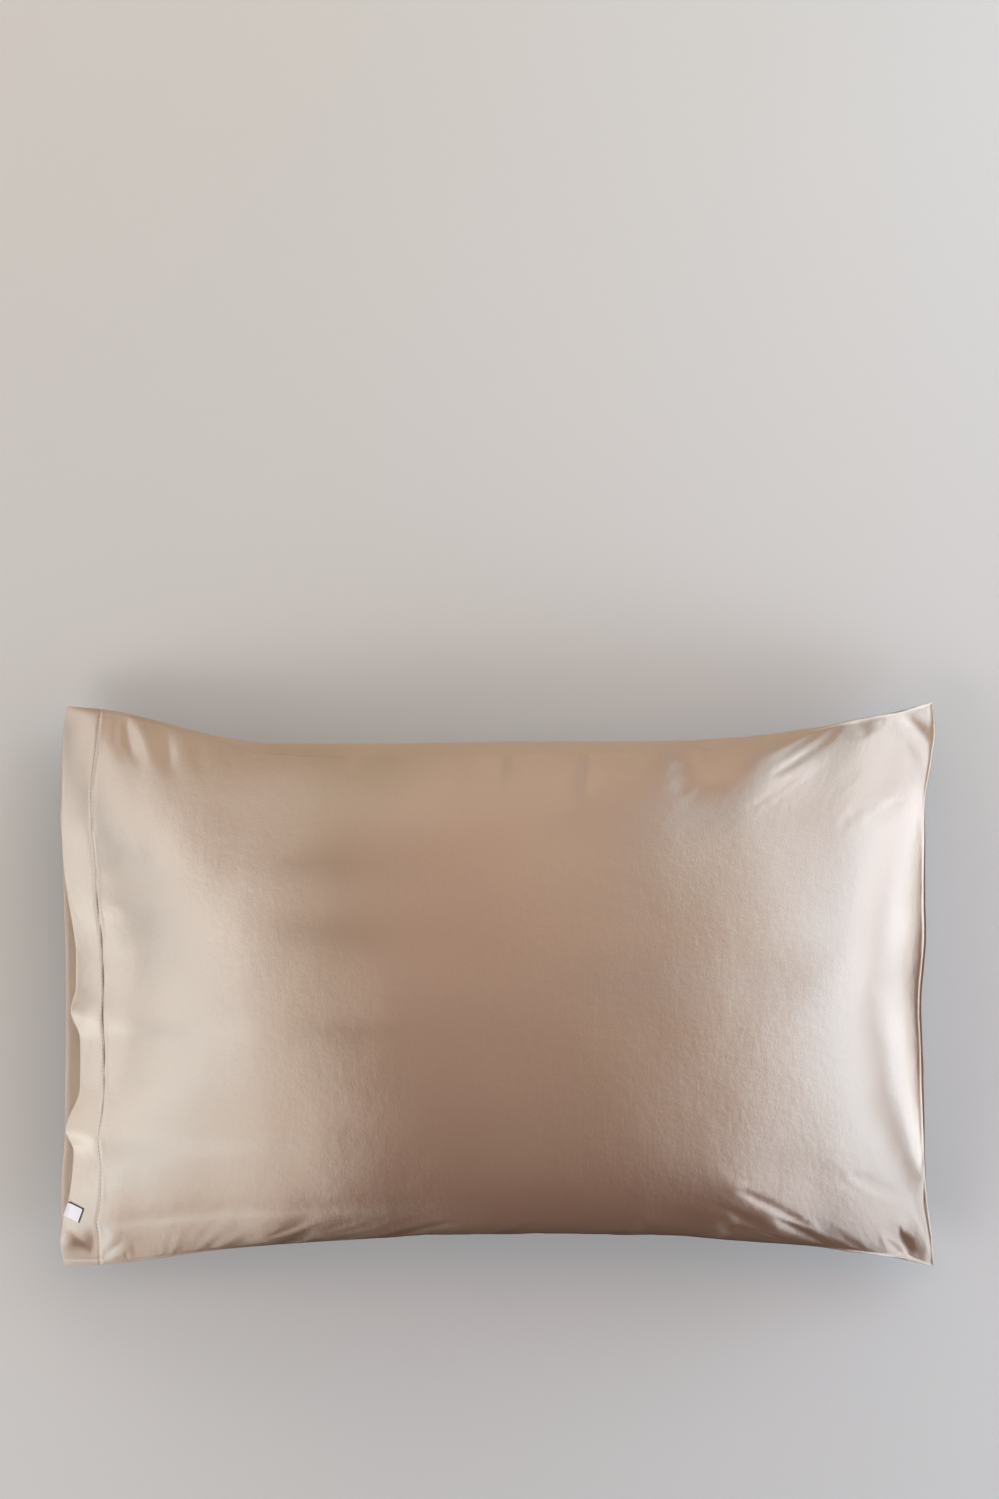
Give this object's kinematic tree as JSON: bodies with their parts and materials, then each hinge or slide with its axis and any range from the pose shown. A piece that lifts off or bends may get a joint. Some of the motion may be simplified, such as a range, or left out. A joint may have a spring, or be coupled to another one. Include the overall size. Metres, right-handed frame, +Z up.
{
  "type": "pillowcase",
  "caption": "Filled satin pillowcase lying on its back, with crowned middle, drawn-in sides, pointed ears, a deep hem at the open end and a small bare woven tab.",
  "frame": {"origin": "on the surface it lies on, under the middle of its overall box", "axes": "+X along the length from the open hem end to the closed end, +Y across, +Z up"},
  "size_m": [0.729, 0.472, 0.172],
  "materials": {
    "satin": "glossy silk satin in pale champagne",
    "label_tape": "matt white woven tape with a dark edge"
  },
  "bodies": {
    "root": {"pillowcase": "satin", "label": "label_tape"}
  },
  "joints": []
}
